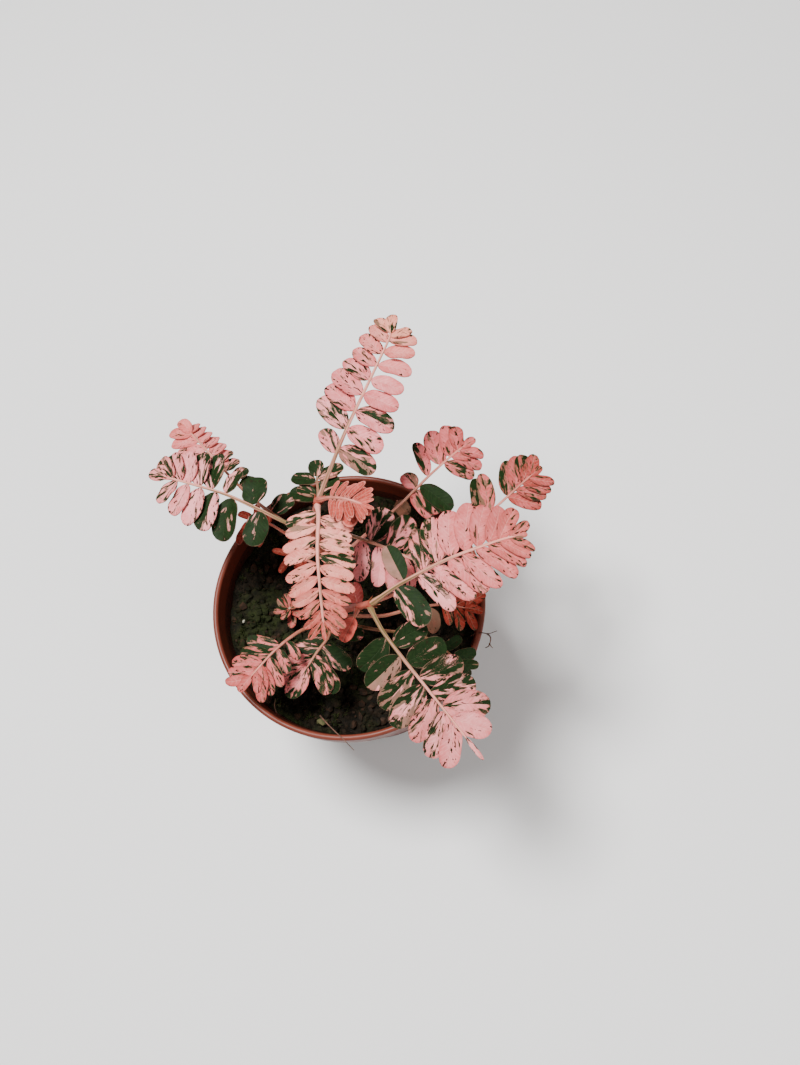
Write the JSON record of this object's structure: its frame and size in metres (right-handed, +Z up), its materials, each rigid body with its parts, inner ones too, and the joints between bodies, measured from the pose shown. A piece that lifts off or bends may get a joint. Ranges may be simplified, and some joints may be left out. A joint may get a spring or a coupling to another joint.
{
  "type": "potted chamber bitter",
  "caption": "Young chamber bitter with variegated pink and green leaflets on spreading fronds, standing in soil in a small round red-brown plastic nursery pot.",
  "frame": {"origin": "middle of the pot's underside, on the pot's axis", "axes": "+Z up along the pot's axis; +Y towards the long frond at the back, +X towards the broad frond on the right"},
  "size_m": [0.1211, 0.1301, 0.1217],
  "materials": {
    "red_brown_plastic": "smooth moulded red-brown plastic with a soft sheen",
    "potting_soil": "damp dark potting soil with patches of moss",
    "red_green_stem": "smooth young stem, red shading to tan green",
    "variegated_leaf": "thin matt leaf, pale pink to salmon with dark green streaks and a pale rachis",
    "young_coral_leaf": "thin young leaf, coral red"
  },
  "bodies": {
    "root": {"pot": "red_brown_plastic", "soil": "potting_soil", "main_stem_left": "red_green_stem", "main_stem_right": "red_green_stem", "frond_back": "variegated_leaf", "frond_front": "variegated_leaf", "shoot_top": "young_coral_leaf", "frond_left": "variegated_leaf", "frond_far_left": "variegated_leaf", "frond_right": "variegated_leaf", "frond_front_right": "variegated_leaf", "frond_front_left": "variegated_leaf", "frond_front_low": "variegated_leaf", "frond_back_right": "variegated_leaf", "frond_far_right": "variegated_leaf", "frond_middle": "variegated_leaf", "shoot_left": "young_coral_leaf", "frond_back_low": "variegated_leaf", "shoot_left_low": "young_coral_leaf", "shoot_right_low": "young_coral_leaf", "shoot_right_side": "variegated_leaf", "shoot_middle": "young_coral_leaf", "seedling": "variegated_leaf"}
  },
  "joints": []
}
